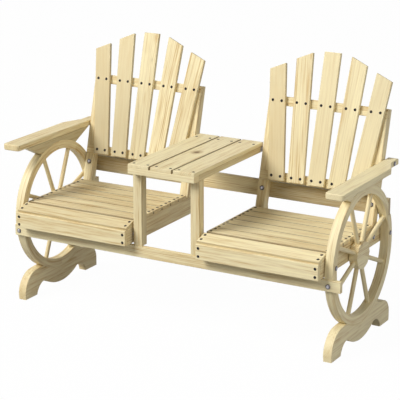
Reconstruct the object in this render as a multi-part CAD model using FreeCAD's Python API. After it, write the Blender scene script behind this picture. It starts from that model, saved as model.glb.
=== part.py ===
import FreeCAD, Part
import math
import os
from FreeCAD import Placement, Rotation, Vector

# A two-seat garden bench of pine with a small table between the seats and a
# fixed spoked wheel at each end. Millimetres. X runs along the bench, Y from
# front to back and Z up. The origin is on the ground, in the middle of the
# bench's box. "left" and "right" are as seen from the front.

# The driving sizes of the seats
SEAT_CENTRE = 406.0          # from the middle of the bench to the middle of a seat
SEAT_HALF = 252.0            # half a seat's length, over its side rails
SEAT_BOTTOM = 323.0          # lower edges of apron and side rails
RAIL_TOP = 396.0             # upper edges of the side rails
FRAME_THICK = 18.0           # aprons, side rails, cross rails and long rails
SLAT_THICK = 14.0
SEAT_FRONT = -316.5          # front face of the apron
RAIL_ENDS = {"inner": 234.0, "outer": 250.0}     # rear ends of the side rails
APRON_TOP = 383.4
SEAT_SLATS = 6
SEAT_SLAT_WIDE = 60.0
SEAT_SLAT_PITCH = 63.8
SEAT_SLAT_REAR = 146.7       # rear edge of the rearmost slat
NOSE_TILT = 15.4             # degrees that the front slat drops forward
NOSE_WIDE = 62.5
NOSE_TOP_REAR = (-248.1, 410.2)

# The leaning backs: u runs up the lean, from the upper screw line
LEAN = 14.73                 # degrees from upright
BACK_Y = 250.6               # where the slats' front plane holds the upper screw line
BACK_Z = 820.7
BACK_SLATS = 5
BACK_SLAT_WIDE = 69.0
BACK_PITCH_TOP = 104.4       # between slat centres on the upper screw line
BACK_PITCH_LOW = 86.8        # and on the lower one
BACK_SCREW_DROP = 292.6      # from the upper screw line to the lower one
BACK_SLAT_FOOT = -310.8
BACK_TOPS = {0: (207.7, 207.7), 1: (199.1, 169.3), 2: (148.4, 119.9)}
CROSS_WIDE = 37.0
LOW_CROSS_DROP = 295.8
POST = 37.0                  # posts and table legs are square

# The table
TABLE_HALF = 144.0
TABLE_TOP = 648.5
TABLE_FRONT = -307.1
TABLE_REAR = 238.0
TABLE_SLATS = 3
TABLE_SLAT_GAP = 6.6
TABLE_FRAME_DEEP = 24.0
BEARER_WIDE = 37.0
REAR_BEARER_Y = 186.0

# The long rails
FRONT_RAIL_Y = -274.5
FRONT_RAIL_Z = (274.7, 318.7)
FRONT_RAIL_X = (-697.0, 728.0)
REAR_RAIL_Y = 214.0
REAR_RAIL_Z = (434.9, 500.5)
REAR_RAIL_HALF = 696.0

# The end frames
WHEEL_IN = 661.0             # inner faces of rim, hub, foot board and arm support
WHEEL_THICK = 35.0
WHEEL_Y = -7.0
WHEEL_Z = 340.0
RIM_OUT = 264.0
RIM_IN = 230.0
HUB_FLATS = 106.0
SPOKES = 8
SPOKE_THICK = 17.0
SPOKE_TENON = 10.0
ARM_BOTTOM = 621.8
ARM_THICK = 24.0
ARM_OUT = 737.0
ARM_REAR_OUT = 703.0
ARM_FRONT = -285.0
ARM_REAR = 278.0
ARM_TAPER = (131.0, 214.0)   # where the outer edge turns in, and where it is straight again

# Fasteners
SCREW_HEAD = 9.6
SCREW_SHANK = 4.6
SCREW_SINK = 0.8             # the heads lie this far below the wood
SCREW_SHORT = 30.0
SCREW_LONG = 58.0
SCREW_RAIL = 38.0
SCREW_END = 240.0            # from a seat's middle to the screws at the slats' ends
SCREW_PAIR = 17.0            # half the distance between the two screws of a level slat
NOSE_PAIR = 15.2             # the same on the tilted slat
BACK_PAIR = 19.2             # and on a back slat
TABLE_PAIR = 30.7            # and on a table slat
APRON_SCREWS = (336.4, 367.6)
RIM_SCREWS = (449.0, 464.0)  # heights of the rear rail's screws into the rims
BEARER_SCREWS = 22.0         # from the table's front edge
TABLE_SCREW_Y = 226.0        # where the table's sides are screwed to the posts
LEG_SCREW = (-251.6, 359.0)  # where the table's legs are screwed to the side rails
SEAT_BOLTS = ((-246.0, 358.3), (240.0, 360.2))
POST_BOLT = (169.0, 356.0)
FRONT_BOLT_Z = 294.0
REAR_BOLT_Z = 480.0
ARM_BOLT = (241.0, 633.7)
BOLT_HEAD = 19.0
BOLT_DOME = 5.0
BOLT_BRIM = 1.0              # height of the head's straight brim
DOME_KNEE = (5.5, 4.0)       # a point of the dome, from its axis and up from the wood
BOLT_SHANK = 8.0
NUT_FLATS = 13.0
NUT_THICK = 6.5
NUT_CLEAR = 1.5              # from a nut's corner to the inside of the rim
BOLT_END = 9.0               # how far a bolt reaches past the wood
BOLT_SPOT = 2.7              # how deep a head's flat seat is cut into a leaning face
BORE_ROOM = 1.0              # how far a cutter reaches past what it clears
SPACER = 20.0
DOWEL = 10.0
EASE = 2.0                   # rounding of the boards' edges
FAR = 1000.0                 # longer than any piece

# Sizes that follow
TABLE_SLAT_WIDE = (2 * TABLE_HALF - (TABLE_SLATS - 1) * TABLE_SLAT_GAP) / TABLE_SLATS
FRAME_MIDDLE = TABLE_TOP - SLAT_THICK - TABLE_FRAME_DEEP / 2
SIDES = {"left": -1.0, "right": 1.0}
UP = Vector(0.0, 0.0, 1.0)
BACKWARD = Vector(0.0, 1.0, 0.0)


def block(x0, x1, y0, y1, z0, z1):
    """A plain box between two corners."""
    return Part.makeBox(x1 - x0, y1 - y0, z1 - z0, Vector(x0, y0, z0))


def board(x0, x1, y0, y1, z0, z1, ease=EASE):
    """A sawn board with all its edges rounded."""
    body = block(x0, x1, y0, y1, z0, z1)
    return body.makeFillet(ease, body.Edges)


def mirrored(x0, x1, side):
    """The ends of a stretch of X, in order, on the side named by its sign."""
    return sorted((side * x0, side * x1))


def outline(start, *moves):
    """A closed wire in the YZ plane: a move is an end point, or a middle and an end point of an arc."""
    edges = []
    here = Vector(0.0, *start)
    for move in moves + (start,):
        if isinstance(move[0], tuple):
            middle, there = Vector(0.0, *move[0]), Vector(0.0, *move[1])
            edges.append(Part.Arc(here, middle, there).toShape())
        else:
            there = Vector(0.0, *move)
            edges.append(Part.LineSegment(here, there).toShape())
        here = there
    return Part.Wire(edges)


def sawn(wire, x0, x1, ease=0.0):
    """A board sawn to an outline in the YZ plane, between two stations of X, its face edges rounded."""
    body = Part.Face(wire).extrude(Vector(x1 - x0, 0.0, 0.0))
    body.translate(Vector(x0, 0.0, 0.0))
    if ease:
        flat = [edge for edge in body.Edges if edge.BoundBox.XLength < ease]
        body = body.makeFillet(ease, flat)
    return body


def on_wheel(radius, degrees):
    """A point of the wheel's plane: its radius, and its angle from straight up towards the rear."""
    turn = math.radians(degrees)
    return (WHEEL_Y + radius * math.sin(turn), WHEEL_Z + radius * math.cos(turn))


def leaned(body):
    """Lay a body that was made upright, slat front at y = 0 and upper screw line at z = 0, on the back."""
    body.rotate(Vector(), Vector(1.0, 0.0, 0.0), -LEAN)
    body.translate(Vector(0.0, BACK_Y, BACK_Z))
    return body


def back_point(x, deep, up):
    """The place of a point that is given across, into and up the leaning back."""
    turn = math.radians(LEAN)
    y = BACK_Y + deep * math.cos(turn) + up * math.sin(turn)
    z = BACK_Z - deep * math.sin(turn) + up * math.cos(turn)
    return Vector(x, y, z)


def aimed(body, place, direction):
    """Set a body that was made along +Z at a place, along a direction."""
    body.Placement = Placement(place, Rotation(UP, direction))
    return body


def nose_solid(centre, ease):
    """The tilted front slat of the seat about a centre."""
    x0, x1 = centre - SEAT_HALF, centre + SEAT_HALF
    body = block(x0, x1, -NOSE_WIDE, 0.0, -SLAT_THICK, 0.0)
    if ease:
        body = body.makeFillet(ease, body.Edges)
    body.rotate(Vector(), Vector(1.0, 0.0, 0.0), NOSE_TILT)
    body.translate(Vector(0.0, *NOSE_TOP_REAR))
    return body


def apron(centre):
    """The board across the front of a seat, its top rebated for the tilted slat."""
    body = board(centre - SEAT_HALF, centre + SEAT_HALF, SEAT_FRONT, SEAT_FRONT + FRAME_THICK,
                 SEAT_BOTTOM, APRON_TOP)
    return body.cut(nose_solid(centre, 0.0))


def side_rail(x0, end):
    """A side board of a seat, its front top sawn to the slope of the tilted slat."""
    slope = math.tan(math.radians(NOSE_TILT))
    under_y = NOSE_TOP_REAR[0] + SLAT_THICK * math.sin(math.radians(NOSE_TILT))
    under_z = NOSE_TOP_REAR[1] - SLAT_THICK * math.cos(math.radians(NOSE_TILT))
    front = SEAT_FRONT + FRAME_THICK
    knee = under_y - (under_z - RAIL_TOP) / slope
    front_top = under_z - (under_y - front) * slope
    shape = outline((front, SEAT_BOTTOM), (end, SEAT_BOTTOM), (end, RAIL_TOP),
                    (knee, RAIL_TOP), (front, front_top))
    return sawn(shape, x0, x0 + FRAME_THICK, EASE)


def seat_slats(centre):
    """The level slats of a seat."""
    slats = []
    for index in range(SEAT_SLATS):
        rear = SEAT_SLAT_REAR - index * SEAT_SLAT_PITCH
        slats.append(board(centre - SEAT_HALF, centre + SEAT_HALF, rear - SEAT_SLAT_WIDE, rear,
                           RAIL_TOP, RAIL_TOP + SLAT_THICK))
    return slats


def cross_rail(centre, middle, ease):
    """A cross rail of the back, lapped into the posts; middle is its height on the lean."""
    body = block(centre - SEAT_HALF, centre + SEAT_HALF, SLAT_THICK, SLAT_THICK + FRAME_THICK,
                 middle - CROSS_WIDE / 2, middle + CROSS_WIDE / 2)
    if ease:
        body = body.makeFillet(ease, body.Edges)
    return leaned(body)


def post(centre, outward):
    """A leaning post: halved over the cross rails, and cut away outside where it passes the side rail."""
    x0, x1 = sorted((centre + outward * (SEAT_HALF - POST), centre + outward * SEAT_HALF))
    body = leaned(board(x0, x1, SLAT_THICK, SLAT_THICK + POST, -BACK_Z, CROSS_WIDE / 2))
    body = body.cut(block(x0 - 1, x1 + 1, -FAR, FAR, -FAR, SEAT_BOTTOM))
    rail = sorted((centre + outward * (SEAT_HALF - FRAME_THICK), centre + outward * (SEAT_HALF + 1)))
    body = body.cut(block(rail[0], rail[1], -FAR, FAR, -FAR, RAIL_TOP))
    body = body.cut(block(x0 - 1, x1 + 1, REAR_RAIL_Y, FAR, *REAR_RAIL_Z))
    for middle in (0.0, -LOW_CROSS_DROP):
        body = body.cut(cross_rail(centre, middle, 0.0))
    return body


def back_slat_centre(index, up):
    """How far a slat's centre line is from the seat's middle, at a height on the lean."""
    spread = (BACK_PITCH_TOP - BACK_PITCH_LOW) / BACK_SCREW_DROP
    return index * (BACK_PITCH_TOP + spread * up)


def back_slat(centre, index):
    """A slat of the fanned back: its top is sawn on a slope that falls away from the middle."""
    tilt = math.atan(back_slat_centre(index, 1.0) - back_slat_centre(index, 0.0))
    half = BACK_SLAT_WIDE / 2 / math.cos(tilt)
    inner, outer = BACK_TOPS[abs(index)]
    left_top, right_top = (inner, outer) if index >= 0 else (outer, inner)
    corners = []
    for side, up in ((-1, BACK_SLAT_FOOT), (1, BACK_SLAT_FOOT), (1, right_top), (-1, left_top)):
        corners.append(Vector(centre + back_slat_centre(index, up) + side * half, 0.0, up))
    wire = Part.makePolygon(corners + corners[:1])
    body = Part.Face(wire).extrude(Vector(0.0, SLAT_THICK, 0.0))
    return leaned(body.makeFillet(EASE, body.Edges))


def table_pieces():
    """The slats and the frame of the table."""
    pieces = {}
    frame_top = TABLE_TOP - SLAT_THICK
    frame_low = frame_top - TABLE_FRAME_DEEP
    bearer_back = TABLE_FRONT + BEARER_WIDE
    for index, name in enumerate(("left", "middle", "right")):
        x0 = -TABLE_HALF + index * (TABLE_SLAT_WIDE + TABLE_SLAT_GAP)
        pieces["table_slat_" + name] = board(x0, x0 + TABLE_SLAT_WIDE, TABLE_FRONT, TABLE_REAR,
                                             frame_top, TABLE_TOP)
    pieces["table_front_bearer"] = board(-TABLE_HALF, TABLE_HALF, TABLE_FRONT, bearer_back,
                                         frame_low, frame_top)
    inner = TABLE_HALF - FRAME_THICK
    pieces["table_rear_bearer"] = board(-inner, inner, REAR_BEARER_Y - BEARER_WIDE / 2,
                                        REAR_BEARER_Y + BEARER_WIDE / 2, frame_low, frame_top)
    for name, side in SIDES.items():
        x0, x1 = mirrored(inner, TABLE_HALF, side)
        pieces["table_%s_apron" % name] = board(x0, x1, bearer_back, TABLE_REAR, frame_low, frame_top)
        x0, x1 = mirrored(TABLE_HALF - POST, TABLE_HALF, side)
        pieces["table_%s_leg" % name] = board(x0, x1, bearer_back, bearer_back + POST,
                                              FRONT_RAIL_Z[1], frame_low)
    return pieces


def long_rails():
    """The front rail and the rear rail."""
    front = board(FRONT_RAIL_X[0], FRONT_RAIL_X[1], FRONT_RAIL_Y, FRONT_RAIL_Y + FRAME_THICK, *FRONT_RAIL_Z)
    rear = board(-REAR_RAIL_HALF, REAR_RAIL_HALF, REAR_RAIL_Y, REAR_RAIL_Y + FRAME_THICK, *REAR_RAIL_Z)
    return {"front_rail": front, "rear_rail": rear}


def rim_ring(x0):
    """A whole rim with rounded edges, housed where it meets the two long rails."""
    axis = Vector(1.0, 0.0, 0.0)
    middle = Vector(x0, WHEEL_Y, WHEEL_Z)
    ring = Part.makeCylinder(RIM_OUT, WHEEL_THICK, middle, axis)
    ring = ring.cut(Part.makeCylinder(RIM_IN, WHEEL_THICK, middle, axis))
    round_edges = [edge for edge in ring.Edges if edge.BoundBox.XLength < EASE]
    ring = ring.makeFillet(EASE, round_edges)
    ring = ring.cut(block(-FAR, FAR, -FAR, FRONT_RAIL_Y + FRAME_THICK, *FRONT_RAIL_Z))
    return ring.cut(block(-FAR, FAR, REAR_RAIL_Y, FAR, *REAR_RAIL_Z))


def hub(x0):
    """The eight-sided hub block, flush with the rim, its flats square to the spokes."""
    reach = HUB_FLATS / 2 / math.cos(math.pi / SPOKES)
    corners = [on_wheel(reach, 360.0 / SPOKES * index) for index in range(SPOKES)]
    return sawn(outline(corners[0], *corners[1:]), x0, x0 + WHEEL_THICK, EASE)


def hub_half(x0, upper):
    """One half of the hub: the glue line falls from the front to the rear, along two spokes."""
    along = 180.0 / SPOKES
    start, end = (-90.0 + along, 90.0 + along)
    reach = [on_wheel(HUB_FLATS, start), on_wheel(HUB_FLATS, end)]
    far_turn = along if upper else along + 180.0
    far = on_wheel(2 * HUB_FLATS, far_turn)
    shift = (far[0] - WHEEL_Y, far[1] - WHEEL_Z)
    corners = reach + [(y + shift[0], z + shift[1]) for y, z in reversed(reach)]
    return hub(x0).common(sawn(outline(corners[0], *corners[1:]), x0, x0 + WHEEL_THICK))


def spokes(x0):
    """The round spokes of a wheel, with their ends in the hub and in the rim."""
    rods = []
    inner = HUB_FLATS / 2 - SPOKE_TENON
    outer = RIM_IN + SPOKE_TENON
    for index in range(SPOKES):
        turn = 360.0 / SPOKES * (index + 0.5)
        foot = Vector(x0 + WHEEL_THICK / 2, *on_wheel(inner, turn))
        tip = Vector(x0 + WHEEL_THICK / 2, *on_wheel(outer, turn))
        rods.append(Part.makeCylinder(SPOKE_THICK / 2, outer - inner, foot, tip - foot))
    return rods


def arm_support(x0):
    """The board that carries the armrest: it saddles the top of the rim and spreads upwards."""
    half_saddle = 27.2
    front_tip, rear_tip = on_wheel(RIM_OUT, -half_saddle), on_wheel(RIM_OUT, half_saddle)
    crown = on_wheel(RIM_OUT, 0.0)
    front_top, rear_top = -224.0, 213.0
    shape = outline(front_tip, (crown, rear_tip), (rear_top, ARM_BOTTOM), (front_top, ARM_BOTTOM))
    return sawn(shape, x0, x0 + WHEEL_THICK, EASE)


def foot_board(x0):
    """The board under a wheel: a saddle for the rim, a rounded belly and two feet."""
    front_saddle, rear_saddle = on_wheel(RIM_OUT, -150.0), on_wheel(RIM_OUT, 149.1)
    shape = outline((-265.0, 0.0),
                    (-267.5, 25.0),
                    ((-250.0, 73.0), (-205.0, 106.0)),
                    ((-172.0, 110.0), front_saddle),
                    (on_wheel(RIM_OUT, 180.0), rear_saddle),
                    (178.0, 97.5),
                    ((230.0, 83.5), (252.0, 41.5)),
                    (252.0, 0.0),
                    (169.0, 0.0),
                    ((155.0, 29.0), (118.0, 44.5)),
                    (104.0, 43.5),
                    ((0.0, 9.3), (-132.0, 47.5)),
                    ((-167.5, 32.0), (-186.5, 0.0)))
    return sawn(shape, x0, x0 + WHEEL_THICK)


def armrest(side):
    """An armrest, in plan: square inside, and outside it narrows behind towards the post."""
    corner = 14.0
    inner, outer = WHEEL_IN, ARM_OUT
    plan = [(inner, ARM_FRONT), (outer, ARM_FRONT), (outer, ARM_TAPER[0]),
            (ARM_REAR_OUT, ARM_TAPER[1]), (ARM_REAR_OUT, ARM_REAR), (inner, ARM_REAR)]
    corners = [Vector(side * x, y, ARM_BOTTOM) for x, y in plan]
    body = Part.Face(Part.makePolygon(corners + corners[:1])).extrude(UP * ARM_THICK)
    upright = ARM_THICK / 2
    front = [edge for edge in body.Edges
             if edge.BoundBox.ZLength > upright and edge.BoundBox.YMax < ARM_FRONT + corner]
    body = body.makeFillet(corner, front)
    rims = [edge for edge in body.Edges if edge.BoundBox.ZLength < upright]
    return body.makeFillet(2 * EASE, rims)


def screw(place, direction, length=SCREW_SHORT):
    """A countersunk wood screw: place is on the wood's surface, direction goes into the wood."""
    cone = (SCREW_HEAD - SCREW_SHANK) / 2
    point = 2 * SCREW_SHANK
    radius = SCREW_SHANK / 2
    profile = [Vector(0.0, 0.0, SCREW_SINK), Vector(SCREW_HEAD / 2, 0.0, SCREW_SINK),
               Vector(radius, 0.0, SCREW_SINK + cone), Vector(radius, 0.0, length - point),
               Vector(0.0, 0.0, length)]
    body = Part.Face(Part.makePolygon(profile + profile[:1])).revolve(Vector(), UP, 360.0)
    return aimed(body, place, direction)


def screw_bore(place, direction, length=SCREW_SHORT):
    """The hole of a screw, open above its sunk head."""
    mouth = Part.makeCylinder(SCREW_HEAD / 2, SCREW_SINK + BORE_ROOM, Vector(0.0, 0.0, -BORE_ROOM))
    return [screw(place, direction, length), aimed(mouth, place, direction)]


def bolt(place, direction, grip):
    """A domed bolt: place is on the wood under its head, grip is what it holds together."""
    top = Vector(0.0, 0.0, -BOLT_DOME)
    brim = Vector(BOLT_HEAD / 2, 0.0, -BOLT_BRIM)
    cap = Part.Arc(top, Vector(DOME_KNEE[0], 0.0, -DOME_KNEE[1]), brim).toShape()
    tip = grip + BOLT_END
    corners = [brim, Vector(BOLT_HEAD / 2, 0.0, 0.0), Vector(BOLT_SHANK / 2, 0.0, 0.0),
               Vector(BOLT_SHANK / 2, 0.0, tip), Vector(0.0, 0.0, tip), top]
    wire = Part.Wire([cap] + Part.makePolygon(corners).Edges)
    return aimed(Part.Face(wire).revolve(Vector(), UP, 360.0), place, direction)


def nut(place, direction, grip):
    """The six-sided nut on a bolt's far end."""
    reach = NUT_FLATS / 2 / math.cos(math.pi / 6)
    corners = [Vector(reach * math.cos(math.pi / 3 * k), reach * math.sin(math.pi / 3 * k), grip)
               for k in range(6)]
    body = Part.Face(Part.makePolygon(corners + corners[:1])).extrude(UP * NUT_THICK)
    body = body.cut(Part.makeCylinder(BOLT_SHANK / 2, grip + 2 * BOLT_END))
    return aimed(body, place, direction)


def spacer(place, direction, long):
    """A round spacer with a hole for its bolt or screw."""
    hole = BOLT_SHANK / 2
    body = Part.makeCylinder(SPACER / 2, long).cut(Part.makeCylinder(hole, long))
    return aimed(body, place, direction)


def dowel(place, direction, long):
    """A round pin that crosses a joint, with its middle at a place."""
    return Part.makeCylinder(DOWEL / 2, long, place - direction * (long / 2), direction)


def screw_places():
    """Every wood screw: where its head is, which way it goes and how long it is."""
    places = []
    down = Vector(0.0, 0.0, -1.0)
    nose = math.radians(NOSE_TILT)
    into_nose = Vector(0.0, math.sin(nose), -math.cos(nose))
    into_back = back_point(0.0, 1.0, 0.0) - back_point(0.0, 0.0, 0.0)
    for side in SIDES.values():
        centre = side * SEAT_CENTRE
        for x in (centre - SCREW_END, centre + SCREW_END):
            for index in range(SEAT_SLATS):
                middle = SEAT_SLAT_REAR - index * SEAT_SLAT_PITCH - SEAT_SLAT_WIDE / 2
                for y in (middle - SCREW_PAIR, middle + SCREW_PAIR):
                    places.append((Vector(x, y, RAIL_TOP + SLAT_THICK), down, SCREW_SHORT))
            for along in (NOSE_WIDE / 2 - NOSE_PAIR, NOSE_WIDE / 2 + NOSE_PAIR):
                y = NOSE_TOP_REAR[0] - along * math.cos(nose)
                z = NOSE_TOP_REAR[1] - along * math.sin(nose)
                places.append((Vector(x, y, z), into_nose, SCREW_SHORT))
            for z in APRON_SCREWS:
                places.append((Vector(x, SEAT_FRONT, z), BACKWARD, SCREW_RAIL))
            for up in (0.0, -LOW_CROSS_DROP):
                behind = back_point(x, SLAT_THICK + POST, up)
                places.append((behind, into_back * -1.0, SCREW_SHORT))
        for index in range(-(BACK_SLATS // 2), BACK_SLATS // 2 + 1):
            for up in (0.0, -BACK_SCREW_DROP):
                middle = centre + back_slat_centre(index, up)
                for x in (middle - BACK_PAIR, middle + BACK_PAIR):
                    places.append((back_point(x, 0.0, up), into_back, SCREW_SHORT))
        for z in RIM_SCREWS:
            x = side * (WHEEL_IN + WHEEL_THICK / 2)
            places.append((Vector(x, REAR_RAIL_Y + FRAME_THICK, z), BACKWARD * -1.0, SCREW_RAIL))
        outward = Vector(side, 0.0, 0.0)
        inner = side * (TABLE_HALF - FRAME_THICK)
        rail_inner = side * (SEAT_CENTRE - SEAT_HALF + FRAME_THICK)
        places.append((Vector(inner, TABLE_SCREW_Y, FRAME_MIDDLE), outward, SCREW_LONG))
        post_inside = side * (SEAT_CENTRE - SEAT_HALF + POST)
        places.append((Vector(post_inside, *POST_BOLT), outward * -1.0, SCREW_SHORT))
        places.append((Vector(rail_inner, *LEG_SCREW), outward * -1.0, SCREW_LONG))
    for index in range(-(TABLE_SLATS // 2), TABLE_SLATS // 2 + 1):
        middle = index * (TABLE_SLAT_WIDE + TABLE_SLAT_GAP)
        for x in (middle - TABLE_PAIR, middle + TABLE_PAIR):
            for y in (TABLE_FRONT + BEARER_SCREWS, REAR_BEARER_Y):
                places.append((Vector(x, y, TABLE_TOP), down, SCREW_SHORT))
    return places


def bolt_places():
    """Every domed bolt: where its head sits, which way it goes and how much it grips."""
    places = []
    seat_out = SEAT_CENTRE + SEAT_HALF
    for side in SIDES.values():
        inward = Vector(-side, 0.0, 0.0)
        wheel_out = side * (WHEEL_IN + WHEEL_THICK)
        wheel_middle = side * (WHEEL_IN + WHEEL_THICK / 2)
        through_rim = WHEEL_IN + WHEEL_THICK - seat_out + FRAME_THICK
        for y, z in SEAT_BOLTS:
            places.append((Vector(wheel_out, y, z), inward, through_rim))
        places.append((Vector(side * ARM_REAR_OUT, *ARM_BOLT), inward, ARM_REAR_OUT - seat_out + POST))
        below_hub = WHEEL_Z - FRONT_BOLT_Z + NUT_FLATS / 2 + NUT_CLEAR
        rim_inside = WHEEL_Y - math.sqrt(RIM_IN ** 2 - below_hub ** 2)
        places.append((Vector(wheel_middle, FRONT_RAIL_Y, FRONT_BOLT_Z), BACKWARD, rim_inside - FRONT_RAIL_Y))
        places.append((Vector(side * seat_out, *POST_BOLT), inward, POST))
        for outward in SIDES.values():
            middle = side * SEAT_CENTRE + outward * (SEAT_HALF - POST / 2)
            front = back_point(middle, SLAT_THICK, 0.0)
            seat = front.y - (front.z - REAR_BOLT_Z) * math.tan(math.radians(LEAN)) + BOLT_SPOT
            places.append((Vector(middle, seat, REAR_BOLT_Z), BACKWARD, REAR_RAIL_Y + FRAME_THICK - seat))
    return places


def spacers():
    """Spacers: thin ones between seats and end frames, thick ones between the seats and the table."""
    rings = []
    seat_out = SEAT_CENTRE + SEAT_HALF
    for side in SIDES.values():
        outward = Vector(side, 0.0, 0.0)
        for y, z in SEAT_BOLTS + (ARM_BOLT,):
            rings.append(spacer(Vector(side * seat_out, y, z), outward, WHEEL_IN - seat_out))
        for y, z in ((TABLE_SCREW_Y, FRAME_MIDDLE), LEG_SCREW):
            rings.append(spacer(Vector(side * TABLE_HALF, y, z), outward, SEAT_CENTRE - SEAT_HALF - TABLE_HALF))
    return rings


def dowels():
    """The pins across the joints between boards."""
    pins = []
    long, short = 30.0, 20.0
    rim_middle = (RIM_OUT + RIM_IN) / 2
    from_middle = 60.0
    arm_pins = (-150.0, 140.0)
    saddle = math.sqrt(RIM_OUT ** 2 - from_middle ** 2)
    bearer_back = TABLE_FRONT + BEARER_WIDE
    frame_low = TABLE_TOP - SLAT_THICK - TABLE_FRAME_DEEP
    for side in SIDES.values():
        x = side * (WHEEL_IN + WHEEL_THICK / 2)
        for way in (-1.0, 1.0):
            pins.append(dowel(Vector(x, WHEEL_Y, WHEEL_Z + way * rim_middle), BACKWARD, long))
            for y in (WHEEL_Y - from_middle, WHEEL_Y + from_middle):
                pins.append(dowel(Vector(x, y, WHEEL_Z + way * saddle), UP, long))
        for y in arm_pins:
            pins.append(dowel(Vector(x, y, ARM_BOTTOM), UP, long))
        leg_x = side * (TABLE_HALF - POST / 2)
        apron_x = side * (TABLE_HALF - FRAME_THICK / 2)
        shared = (bearer_back + FRONT_RAIL_Y + FRAME_THICK) / 2
        pins.append(dowel(Vector(leg_x, shared, FRONT_RAIL_Z[1]), UP, long))
        pins.append(dowel(Vector(apron_x, bearer_back + POST / 2, frame_low), UP, long))
        pins.append(dowel(Vector(apron_x, bearer_back, FRAME_MIDDLE), BACKWARD, short))
    return pins


def bored(body, cutters):
    """A body with every cutter that comes near it taken out."""
    near = [cutter for cutter in cutters if cutter.BoundBox.intersect(body.BoundBox)]
    return body.cut(near) if near else body


def seat_pieces():
    """Both seats with their backs."""
    pieces = {}
    for name, side in SIDES.items():
        centre = side * SEAT_CENTRE
        pieces[name + "_seat_apron"] = [apron(centre)]
        pieces[name + "_front_seat_slat"] = [nose_solid(centre, EASE)]
        pieces[name + "_seat_slats"] = seat_slats(centre)
        pieces[name + "_upper_cross_rail"] = [cross_rail(centre, 0.0, EASE)]
        pieces[name + "_lower_cross_rail"] = [cross_rail(centre, -LOW_CROSS_DROP, EASE)]
        for place, outward in (("inner", -side), ("outer", side)):
            edge = centre + outward * SEAT_HALF
            prefix = "%s_%s_" % (name, place)
            rail = side_rail(min(edge, edge - outward * FRAME_THICK), RAIL_ENDS[place])
            pieces[prefix + "side_rail"] = [rail]
            pieces[prefix + "post"] = [post(centre, outward)]
        for index in range(BACK_SLATS):
            number = index - BACK_SLATS // 2
            pieces["%s_back_slat_%d" % (name, index + 1)] = [back_slat(centre, number)]
    return pieces


def end_frame_pieces():
    """Both end frames: wheel, armrest, arm support and foot board."""
    pieces = {}
    for name, side in SIDES.items():
        x0 = min(side * WHEEL_IN, side * (WHEEL_IN + WHEEL_THICK))
        rods = spokes(x0)
        ring = rim_ring(x0)
        front = block(-FAR, FAR, -FAR, WHEEL_Y, -FAR, FAR)
        pieces[name + "_spokes"] = rods
        pieces[name + "_rim_front"] = [ring.common(front).cut(rods)]
        pieces[name + "_rim_rear"] = [ring.cut(front).cut(rods)]
        pieces[name + "_hub_upper"] = [hub_half(x0, True).cut(rods)]
        pieces[name + "_hub_lower"] = [hub_half(x0, False).cut(rods)]
        pieces[name + "_arm_support"] = [arm_support(x0)]
        pieces[name + "_foot_board"] = [foot_board(x0)]
        pieces[name + "_armrest"] = [armrest(side)]
    return pieces


def hardware_pieces():
    """The fasteners, each kind in one group, and the cutters for their holes."""
    screws = [screw(*place) for place in screw_places()]
    bolts = [bolt(*place) for place in bolt_places()]
    nuts = [nut(*place) for place in bolt_places()]
    pins = dowels()
    cutters = list(bolts) + list(pins)
    for place in screw_places():
        cutters += screw_bore(*place)
    for place, direction, _ in bolt_places():
        spot = Part.makeCylinder(BOLT_HEAD / 2 + BORE_ROOM, 2 * BOLT_SPOT, Vector(0.0, 0.0, -2 * BOLT_SPOT))
        cutters.append(aimed(spot, place, direction))
    groups = {"wood_screws": screws, "domed_bolts": bolts, "bolt_nuts": nuts,
              "spacers": spacers(), "joint_dowels": pins}
    return groups, cutters


def write_all():
    """Make every piece, bore the wooden ones for their fasteners, and write one file for each."""
    os.makedirs("parts", exist_ok=True)
    groups, cutters = hardware_pieces()
    wood = seat_pieces()
    for name, body in list(table_pieces().items()) + list(long_rails().items()):
        wood[name] = [body]
    wood.update(end_frame_pieces())
    for name, bodies in wood.items():
        groups[name] = [bored(body, cutters) for body in bodies]
    for name, bodies in groups.items():
        solids = [solid for body in bodies for solid in body.Solids]
        if len(solids) != len(bodies) or not all(solid.isValid() for solid in solids):
            print("check", name, "pieces", len(bodies), "solids", len(solids))
        shape = solids[0] if len(solids) == 1 else Part.makeCompound(solids)
        shape.exportStep("parts/%s.step" % name)
    print(len(groups), "nodes written")


write_all()
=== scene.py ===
# %% [markdown]
# # A two-seat garden bench of pine
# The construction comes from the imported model: every board, rim, spoke, screw and bolt has its real
# size and place there. This lesson gives those pieces their looks, and makes new meshes for the few
# whose shape needs more than a sawn board has.

# %% Load the fixed frame
import math

import bpy
import numpy as np
from mathutils import Matrix, Vector


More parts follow.
